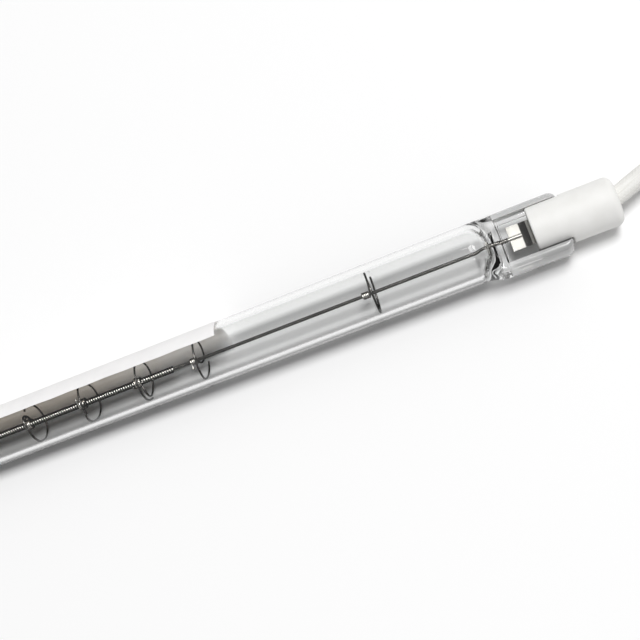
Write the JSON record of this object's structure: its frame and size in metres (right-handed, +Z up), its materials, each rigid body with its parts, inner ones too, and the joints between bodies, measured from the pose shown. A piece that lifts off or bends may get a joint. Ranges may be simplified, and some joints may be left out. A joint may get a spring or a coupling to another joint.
{
  "type": "infrared heating lamp",
  "caption": "Double-ended halogen infrared heating lamp: coiled filament in a clear quartz tube with a white reflector coating, pressed ends, ceramic caps and a flying lead.",
  "frame": {"origin": "middle of the lamp's length, on the surface that it lies on, under the axis of the tube", "axes": "+X along the lamp towards the end with the lead, +Y towards the reflector coating, +Z up"},
  "size_m": [0.395, 0.0161, 0.0124],
  "materials": {
    "quartz": "clear fused quartz, polished",
    "reflector_white": "matt white baked ceramic coating",
    "tungsten": "drawn tungsten wire",
    "molybdenum": "drawn molybdenum rod",
    "seal_foil": "thin rolled molybdenum foil",
    "support_wire": "drawn wire",
    "cap_ceramic": "matt white steatite",
    "cement": "matt cement",
    "nickel": "bright nickel",
    "braided_insulation": "white glass-fibre sleeve",
    "tinned_strand": "tinned strands"
  },
  "bodies": {
    "root": {"quartz_tube": "quartz", "reflector_coating": "reflector_white", "filament_coil": "tungsten", "lead_core": "tinned_strand", "lead_wire": "braided_insulation", "lead_tip": "tinned_strand", "inner_lead_left": "molybdenum", "inner_lead_right": "molybdenum", "lead_wrap_left": "molybdenum", "lead_wrap_right": "molybdenum", "seal_foil_left": "seal_foil", "seal_foil_right": "seal_foil", "outer_lead_left": "molybdenum", "outer_lead_right": "molybdenum", "ceramic_cap_left": "cap_ceramic", "ceramic_cap_right": "cap_ceramic", "cap_cement_left": "cement", "cap_cement_right": "cement", "crimp_sleeve_left": "nickel", "crimp_sleeve_right": "nickel", "filament_support_01": "support_wire", "filament_support_02": "support_wire", "filament_support_03": "support_wire", "filament_support_04": "support_wire", "filament_support_05": "support_wire", "filament_support_06": "support_wire", "filament_support_07": "support_wire", "filament_support_08": "support_wire", "filament_support_09": "support_wire", "filament_support_10": "support_wire", "filament_support_11": "support_wire", "filament_support_12": "support_wire", "filament_support_13": "support_wire", "filament_support_14": "support_wire", "filament_support_15": "support_wire", "filament_support_16": "support_wire", "filament_support_17": "support_wire"}
  },
  "joints": []
}
